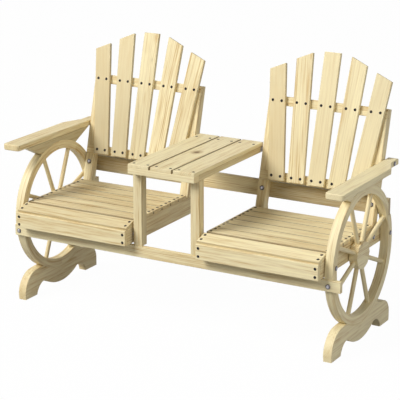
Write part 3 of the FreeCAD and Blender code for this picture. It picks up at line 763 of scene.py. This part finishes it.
def rim_pine(name, side, towards, seed):
    """A bent board: along the rim, across it and through it."""
    draw = np.random.default_rng(seed)
    material, shader, place = new_material("pine_" + name)
    x, angle, radius = polar(place, towards)
    grain = (angle * RIM_MIDDLE, radius - RIM_MIDDLE, x - side * WHEEL_X)
    pith = (draw.uniform(-0.03, 0.03), -0.09, 0.03)
    luck = tuple(draw.uniform(0.0, 1.0, 3))
    finish(place, shader, wood(place, grain, luck, pith, ring=0.0058, tone=WHEEL_TONE_PAINTED_LIGHT[side], fibre=1.2))
    return material


def spoke_pine(name, side, seed):
    """Eight rods: the angle over 45 degrees tells which rod, and its remainder where across the rod."""
    material, shader, place = new_material("pine_" + name)
    x, angle, radius = polar(place, 1.0)
    turn = angle * (SPOKES / (2 * math.pi)) + float(SPOKES)
    lot = turn.math("FLOOR")
    off = ((turn - lot) - 0.5) * (2 * math.pi / SPOKES)
    luck = (lot + float(seed)).dice()
    grain = (radius, off * radius, x - side * WHEEL_X)
    pith, tone = (0.06, -0.05, 0.02), WHEEL_TONE_PAINTED_LIGHT[side] / 2
    finish(place, shader, wood(place, grain, luck, pith, ring=0.0040, tone=tone, fibre=1.2))
    return material


for number, (side, sign) in enumerate(SIDES.items()):
    dress(side + "_rim_front", rim_pine(side + "_rim_front", sign, -1.0, 400 + number))
    dress(side + "_rim_rear", rim_pine(side + "_rim_rear", sign, 1.0, 410 + number))
    dress(side + "_spokes", spoke_pine(side + "_spokes", sign, 420 + 20 * number))
print("wheels dressed")

# %% [markdown]
# ## Closed shells from rings
# The feet, the screws, the bolts and the nuts are all one kind of surface: rings of points, one after
# the other along an axis, with a flat face on the first ring and one on the last. A grid of ring
# number against place in the ring holds it, so the faces follow from the two counts alone. Blender's
# own cylinders could be edited to the same end, but the grid says the shape in a few numbers.

# %% Turn rings into a mesh
def ring_faces(rings, around):
    """Quads between neighbouring rings, and one face each for the first and the last ring."""
    row, column = np.meshgrid(np.arange(rings - 1), np.arange(around), indexing="ij")
    after = (column + 1) % around
    quads = np.stack([row * around + column, row * around + after,
                      (row + 1) * around + after, (row + 1) * around + column], axis=-1)
    last = (rings - 1) * around
    return quads.reshape(-1, 4), np.arange(around)[::-1], last + np.arange(around)


def shells(name, stack, reach=None, sharp=40.0):
    """One object from an array (copy, ring, around, xyz), with an attribute for a finish to read."""
    copies, rings, around = stack.shape[:3]
    quads, first, last = ring_faces(rings, around)
    faces = []
    for copy in range(copies):
        start = copy * rings * around
        faces += (quads + start).tolist() + [(first + start).tolist(), (last + start).tolist()]
    mesh = bpy.data.meshes.new(name)
    mesh.from_pydata(stack.reshape(-1, 3).tolist(), [], faces)
    if reach is not None:
        layer = mesh.attributes.new("reach", "FLOAT", "POINT")
        layer.data.foreach_set("value", np.tile(reach.reshape(-1), copies).astype(np.float32))
    mesh.shade_smooth()
    mesh.set_sharp_from_angle(angle=math.radians(sharp))
    return new_object(name, mesh)


print("a ring of 8 gives", len(ring_faces(3, 8)[0]), "quads over 3 rings")

# %% [markdown]
# ## The feet
# Each foot is one board sawn to a curved outline: a scroll at the front, a saddle that the rim sits in,
# a heel at the back and a low arch over the floor. A router then rounded the edges, which leaves the
# thin dark groove between foot and rim. The outline is laid out as lines and arcs through three points,
# and each ring is that outline, drawn in along a quarter circle towards the faces. A Bevel modifier
# rounds a board as well, but this way the whole edge is one number.

# %% Lay out the foot's outline
WHEEL_IN, WHEEL_THICK = 0.661, 0.035
SADDLE_FRONT, SADDLE_REAR = -150.0, 149.1


def on_wheel(radius, degrees):
    """A point of the wheel's plane, at a radius and an angle from straight up."""
    turn = math.radians(degrees)
    return (WHEEL_Y + radius * math.sin(turn), WHEEL_Z + radius * math.cos(turn))


def arc(start, middle, end, step=0.005):
    """Points after start on the circle through three points, whose centre is as far from each."""
    a, b, c = (np.array(p, float) for p in (start, middle, end))
    sides = np.array([b - a, c - a])
    centre = a + np.linalg.solve(2 * sides, (sides ** 2).sum(axis=1))
    radius = np.linalg.norm(a - centre)
    turns = [math.atan2(*(p - centre)[::-1]) for p in (a, b, c)]
    to_middle, to_end = ((turn - turns[0]) % (2 * math.pi) for turn in turns[1:])
    sweep = to_end if to_middle < to_end else to_end - 2 * math.pi
    count = max(3, int(abs(sweep) * radius / step))
    along = turns[0] + np.linspace(0.0, sweep, count + 1)[1:]
    return centre + radius * np.stack([np.cos(along), np.sin(along)], axis=1)


def outline(start, *moves):
    """A closed outline: each move is a point to go straight to, or the middle and end of an arc."""
    points = [np.array([start], float)]
    for move in moves:
        if isinstance(move[0], tuple):
            points.append(arc(points[-1][-1], *move))
        else:
            points.append(np.array([move], float))
    return np.concatenate(points)


def foot_outline():
    """Scroll, saddle, heel and arch, from the toe round to the toe, in metres."""
    front_saddle, rear_saddle = on_wheel(RIM_OUT, SADDLE_FRONT), on_wheel(RIM_OUT, SADDLE_REAR)
    return outline((-0.265, 0.0), (-0.2675, 0.025), ((-0.250, 0.073), (-0.205, 0.106)),
                   ((-0.172, 0.110), front_saddle), (on_wheel(RIM_OUT, 180.0), rear_saddle),
                   (0.178, 0.0975), ((0.230, 0.0835), (0.252, 0.0415)), (0.252, 0.0), (0.169, 0.0),
                   ((0.155, 0.029), (0.118, 0.0445)), (0.104, 0.0435), ((0.0, 0.0093), (-0.132, 0.0475)),
                   ((-0.1675, 0.032), (-0.1865, 0.0)))


print("foot outline points", len(foot_outline()))

# %% Cut the feet
EDGE = 0.0022
EDGE_STEPS = 5
FLAT_IN = 1.6 * EDGE
FOOT_MIDDLE = 0.055


def drawn_in(points, depth):
    """Move each corner inwards along the mitre of its two sides, so that both sides move by depth."""
    ahead = np.roll(points, -1, axis=0) - points
    ahead = ahead / np.linalg.norm(ahead, axis=1, keepdims=True)
    inward = np.stack([-ahead[:, 1], ahead[:, 0]], axis=1)
    mitre = inward + np.roll(inward, 1, axis=0)
    return points + mitre * (2.0 * depth / (mitre ** 2).sum(axis=1, keepdims=True))


def foot_rings(x0):
    """Rings from one face to the other: flat, a quarter round, the sawn edge, and the same back.

    The outline runs clockwise, so it is taken backwards: then its inside is on the left.
    """
    points = foot_outline()[::-1]
    turns = np.linspace(0.0, np.pi / 2, EDGE_STEPS)
    insets = np.concatenate([[FLAT_IN], EDGE * (1.0 - np.sin(turns)), [0.0]])
    depths = np.concatenate([[0.0], EDGE * (1.0 - np.cos(turns)), [FLAT_IN]])
    insets = np.concatenate([insets, insets[::-1]])
    depths = np.concatenate([depths, WHEEL_THICK - depths[::-1]])
    rings = [np.column_stack([np.full(len(points), x0 + depth), drawn_in(points, inset)])
             for inset, depth in zip(insets, depths)]
    return np.stack(rings)[None]


def foot_pine(name, side, seed):
    """Grain along the board; the pith beside it, so that the sawn edges show lines as well."""
    draw = np.random.default_rng(seed)
    material, shader, place = new_material("pine_" + name)
    x, y, z = place.axes()
    grain = (y, z - FOOT_MIDDLE, x - side * WHEEL_X)
    luck, pith = tuple(draw.uniform(0.0, 1.0, 3)), (0.020, -0.080, 0.03)
    surface = wood(place, grain, luck, pith, ring=0.0062, contrast=0.35, tone=WHEEL_TONE_PAINTED_LIGHT[side] + 0.04,
                   fibre=1.1, end=face_mask(place, Y))
    finish(place, shader, surface)
    return material


for number, (side, sign) in enumerate(SIDES.items()):
    name = side + "_foot_board"
    foot = shells(side + "_foot", foot_rings(WHEEL_IN if sign > 0 else -WHEEL_IN - WHEEL_THICK))
    foot.data.materials.append(foot_pine(name, sign, 500 + number))
    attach(foot, "root")
    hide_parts(name)
    print(foot.name, "quads", len(foot.data.polygons))

# %% [markdown]
# ## Screws
# The screws are dark, bronzed wood screws with a cross recess, and their heads end about flush with the
# wood. At this size the recess is a few points of a sixteen-sided head pushed down: every fourth point
# of two rings makes an arm of the cross. Cutting it out of every head would take far more faces. The
# places repeat the construction's own rows of screws.

# %% Place the screws
FRAME_THICK, SLAT_THICK, POST = 0.018, 0.014, 0.037
SEAT_SLATS = 6
SEAT_CENTRE, SEAT_HALF, SEAT_TOP, SEAT_FRONT = 0.406, 0.252, 0.410, -0.3165
NOSE_REAR = (-0.2481, 0.4102)
BACK_Y, BACK_Z, BACK_PITCH = 0.2506, 0.8207, 0.1044
BACK_ROWS, CROSS_ROWS = (0.0, -0.2926), (0.0, -0.2958)
TABLE_HALF, TABLE_TOP, TABLE_FRAME_DEEP = 0.144, 0.6485, 0.024
TABLE_SLAT_PITCH, TABLE_ROWS = 0.0982, (-0.2851, 0.186)
REAR_RAIL_BACK = 0.232
INTO_BACK = Vector((0.0, math.cos(LEAN), -math.sin(LEAN)))
INTO_NOSE = Vector((0.0, math.sin(NOSE_TILT), -math.cos(NOSE_TILT)))
SHORT, MEDIUM, LONG = 0.030, 0.038, 0.058
SCREW_END = 0.240
SEAT_PAIR, NOSE_PAIR, BACK_PAIR, TABLE_PAIR = 0.017, 0.0152, 0.0192, 0.0307
APRON_SCREWS, RIM_SCREWS = (0.3364, 0.3676), (0.449, 0.464)
TABLE_SCREW_Y, POST_BOLT, LEG_SCREW = 0.226, (0.169, 0.356), (-0.2516, 0.359)


def back_point(x, deep, up):
    """A place given across, into and up the leaning back."""
    return Vector((x, BACK_Y, BACK_Z)) + INTO_BACK * deep + LEANING * up


def pair(middle, half):
    """The places of two screws, as far on each side of a middle."""
    return (middle - half, middle + half)


def seat_screws(x):
    """The screws in one line from front to back, through the ends of a seat's boards."""
    places = []
    for index in range(SEAT_SLATS):
        middle = SLAT_REAR - index * SLAT_PITCH - SLAT_WIDE / 2
        places += [(Vector((x, y, SEAT_TOP)), -Z, SHORT) for y in pair(middle, SEAT_PAIR)]
    for down in pair(NOSE_HALF, NOSE_PAIR):
        places.append((Vector((x, *NOSE_REAR)) - NOSE * down, INTO_NOSE, SHORT))
    places += [(Vector((x, SEAT_FRONT, z)), Y, MEDIUM) for z in APRON_SCREWS]
    places += [(back_point(x, SLAT_THICK + POST, up), -INTO_BACK, SHORT) for up in CROSS_ROWS]
    return places


def screw_places():
    """Every screw: where its head is, which way it goes in, and how long it is."""
    places = []
    for sign in SIDES.values():
        centre, inner = sign * SEAT_CENTRE, SEAT_CENTRE - SEAT_HALF
        for x in pair(centre, SCREW_END):
            places += seat_screws(x)
        for index in range(-2, 3):
            for up in BACK_ROWS:
                middle = centre + index * (BACK_PITCH + FAN * up)
                places += [(back_point(x, 0.0, up), INTO_BACK, SHORT) for x in pair(middle, BACK_PAIR)]
        places += [(Vector((sign * WHEEL_X, REAR_RAIL_BACK, z)), -Y, MEDIUM) for z in RIM_SCREWS]
        out, frame_middle = Vector((sign, 0.0, 0.0)), TABLE_TOP - SLAT_THICK - TABLE_FRAME_DEEP / 2
        table_side = Vector((sign * (TABLE_HALF - FRAME_THICK), TABLE_SCREW_Y, frame_middle))
        places += [(table_side, out, LONG),
                   (Vector((sign * (inner + POST), *POST_BOLT)), -out, SHORT),
                   (Vector((sign * (inner + FRAME_THICK), *LEG_SCREW)), -out, LONG)]
    for index in (-1, 0, 1):
        for x in pair(index * TABLE_SLAT_PITCH, TABLE_PAIR):
            places += [(Vector((x, y, TABLE_TOP)), -Z, SHORT) for y in TABLE_ROWS]
    return places


def turned(places, draw):
    """For each place a 3 x 3 matrix: local +z leaves the wood, with a random turn about it."""
    out = []
    for _, inward, _ in places:
        base = (-inward).to_track_quat("Z", "Y").to_matrix()
        out.append(np.array(base @ Matrix.Rotation(draw.uniform(0.0, 2 * math.pi), 3, "Z")))
    return np.stack(out)


def set_in_place(rings, places, seed):
    """Copy rings (copy, ring, around, xyz) to every place: turn them, then move them."""
    turns = turned(places, np.random.default_rng(seed))
    spots = np.array([tuple(place) for place, _, _ in places])
    return np.einsum("nij,nraj->nrai", turns, rings) + spots[:, None, None, :]


SCREWS = screw_places()
print("screws", len(SCREWS))

# %% Shape the screws
HEAD_RADIUS, HEAD_CORNERS = 0.0058, 16
CROSS_FLANK, CROSS_FLOOR = -0.0016, -0.0020


def round_rings(profile, around):
    """Turn a profile of (radius, height) about z: x = r cos t, y = r sin t."""
    turns = np.linspace(0.0, 2 * np.pi, around, endpoint=False)
    radius, height = np.array(profile, float).T
    x = radius[:, None] * np.cos(turns)
    y = radius[:, None] * np.sin(turns)
    return np.stack([x, y, np.broadcast_to(height[:, None], x.shape)], axis=-1)


def screw_rings(length):
    """Point, shank, cone, rim, and a cross: at every fourth point two rings go down."""
    profile = [(0.0002, -length), (0.0023, -length + 0.009), (0.0023, -0.0033), (0.0048, -0.0008),
               (HEAD_RADIUS, 0.0), (0.0055, 0.0004), (0.0034, 0.0006), (0.0028, 0.0005),
               (0.0010, 0.0005), (0.0004, -0.0018)]
    rings = round_rings(profile, HEAD_CORNERS)
    arms = np.arange(HEAD_CORNERS) % 4 == 0
    rings[7, arms, 2] = CROSS_FLANK
    rings[8, arms, 2] = CROSS_FLOOR
    return rings


def reach_of(rings, radius, below):
    """Distance to the axis over the head's radius; the rings below the head count as its rim."""
    reach = np.hypot(rings[:, :, 0], rings[:, :, 1]) / radius
    reach[:below] = 1.0
    return reach


stack = np.stack([screw_rings(length) for _, _, length in SCREWS])
reach = reach_of(stack[0], HEAD_RADIUS, 4)
screws = shells("screw_heads", set_in_place(stack, SCREWS, 7), reach, 50.0)
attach(screws, "root")
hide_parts("wood_screws")
print("screw faces", len(screws.data.polygons))

# %% [markdown]
# ## Bolts and nuts
# The bolts have low domed heads with no recess, of bright zinc. A dome mirrors the whole sky, so its
# middle shines and its edge goes dark; a plain metal under an even white world would lose that edge,
# so the colour paints it: a painted highlight in the middle and painted shade at the brim. The nuts are
# six-sided with turned corners: at each height the radius is the smaller of the hexagon's and a cone's.

# %% Shape the bolts and the nuts
BOLT_RADIUS, DOME_SPHERE, DOME_TOP = 0.0095, 0.01328, 0.005
BOLT_END, BOLT_SPOT = 0.009, 0.0027
NUT_FLATS, NUT_THICK, NUT_CLEAR = 0.013, 0.0065, 0.0015
SEAT_BOLTS, ARM_BOLT = ((-0.246, 0.3583), (0.240, 0.3602)), (0.241, 0.6337)
ARM_REAR_OUT = 0.703
FRONT_RAIL_FACE = -0.2745
FRONT_BOLT_Z, REAR_BOLT_Z = 0.294, 0.480
BOLT_CORNERS = 24


def bolt_places():
    """Every bolt: where its head sits, which way it goes in, and how much it grips."""
    places = []
    seat_out, wheel_out = SEAT_CENTRE + SEAT_HALF, WHEEL_IN + WHEEL_THICK
    for sign in SIDES.values():
        inward = Vector((-sign, 0.0, 0.0))
        for spot in SEAT_BOLTS:
            places.append((Vector((sign * wheel_out, *spot)), inward, wheel_out - seat_out + FRAME_THICK))
        places.append((Vector((sign * ARM_REAR_OUT, *ARM_BOLT)), inward, ARM_REAR_OUT - seat_out + POST))
        below = WHEEL_Z - FRONT_BOLT_Z + NUT_FLATS / 2 + NUT_CLEAR
        rim_inside = WHEEL_Y - math.sqrt(RIM_IN ** 2 - below ** 2)
        places.append((Vector((sign * WHEEL_X, FRONT_RAIL_FACE, FRONT_BOLT_Z)), Y,
                       rim_inside - FRONT_RAIL_FACE))
        places.append((Vector((sign * seat_out, *POST_BOLT)), inward, POST))
        for outward in SIDES.values():
            front = back_point(sign * SEAT_CENTRE + outward * (SEAT_HALF - POST / 2), SLAT_THICK, 0.0)
            seat = front.y - (front.z - REAR_BOLT_Z) * math.tan(LEAN) + BOLT_SPOT
            places.append((Vector((front.x, seat, REAR_BOLT_Z)), Y, REAR_RAIL_BACK - seat))
    return places


def bolt_rings(grip):
    """Chamfered end, shank, underside, brim and a dome: a part of a sphere."""
    tip = -grip - BOLT_END
    across = np.array([0.0091, 0.0083, 0.0072, 0.0059, 0.0044, 0.0028, 0.0012])
    dome = DOME_TOP - DOME_SPHERE + np.sqrt(DOME_SPHERE ** 2 - across ** 2)
    profile = [(0.0032, tip), (0.0040, tip + 0.0010), (0.0040, 0.0), (BOLT_RADIUS - 0.0002, 0.0),
               (BOLT_RADIUS, 0.0002), (BOLT_RADIUS, 0.0008)] + list(zip(across, dome))
    return round_rings(profile, BOLT_CORNERS)


def nut_rings(grip):
    """Inner wall, face, chamfer and side, and the same back: each radius is cut by the hexagon."""
    turns = np.linspace(0.0, 2 * np.pi, BOLT_CORNERS, endpoint=False)
    hexagon = NUT_FLATS / 2 / np.cos((turns % (np.pi / 3)) - np.pi / 6)
    levels = [(0.0041, 0.0002), (0.0045, 0.0), (0.0062, 0.0), (0.0080, 0.0009)]
    levels += [(radius, NUT_THICK - up) for radius, up in reversed(levels)]
    rings = []
    for radius, up in levels:
        size = np.minimum(hexagon, radius)
        height = np.full(BOLT_CORNERS, -grip - up)
        rings.append(np.stack([size * np.cos(turns), size * np.sin(turns), height], axis=1))
    return np.stack(rings[::-1])


BOLTS = bolt_places()
stack = np.stack([bolt_rings(grip) for _, _, grip in BOLTS])
bolts = shells("bolt_heads", set_in_place(stack, BOLTS, 11), reach_of(stack[0], BOLT_RADIUS, 3), 50.0)
nuts = shells("nuts", set_in_place(np.stack([nut_rings(grip) for _, _, grip in BOLTS]), BOLTS, 12))
for piece, node in ((bolts, "domed_bolts"), (nuts, "bolt_nuts")):
    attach(piece, "root")
    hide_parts(node)
    print(piece.name, "faces", len(piece.data.polygons))

# %% [markdown]
# ## Metal finishes
# Each metal is one shader: fine noise spreads its roughness, and the attribute that came with the mesh
# says how far from the axis a point lies, so the colour can change from the middle to the brim. Two
# materials on each head would do that with a hard line between them.

# %% Dress the fasteners
def metal(name, stops, rough, metallic, spread=0.12):
    """Colour from the distance to the axis, roughness from noise."""
    material, shader, place = new_material(name)
    cloud = place.noise(*[axis * 500.0 for axis in place.axes()])
    reach = place.node("ShaderNodeAttribute", {"attribute_name": "reach"}, None, 2)
    connect(shader, Base_Color=reach.ramp(stops), Roughness=cloud * spread + rough)
    shader.inputs["Metallic"].default_value = metallic
    return material


BRONZED = ((0.0, (0.005, 0.004, 0.004, 1.0)), (0.75, (0.007, 0.004, 0.003, 1.0)),
           (1.0, (0.045, 0.020, 0.012, 1.0)))
# Painted highlight and painted shade: the dome is bright in the middle and near black at the brim.
ZINC_PAINTED_SHEEN = ((0.0, (0.53, 0.52, 0.53, 1.0)), (0.45, (0.33, 0.32, 0.34, 1.0)),
        (0.95, (0.060, 0.055, 0.060, 1.0)))
PLAIN_ZINC = ((0.0, (0.42, 0.41, 0.43, 1.0)), (1.0, (0.42, 0.41, 0.43, 1.0)))
screws.data.materials.append(metal("bronzed_steel", BRONZED, rough=0.65, metallic=0.0))
bolts.data.materials.append(metal("zinc_dome_painted_sheen", ZINC_PAINTED_SHEEN, rough=0.28, metallic=0.9))
plain = metal("zinc_plain", PLAIN_ZINC, rough=0.34, metallic=0.9)
nuts.data.materials.append(plain)
dress("spacers", plain)
print("fasteners dressed")
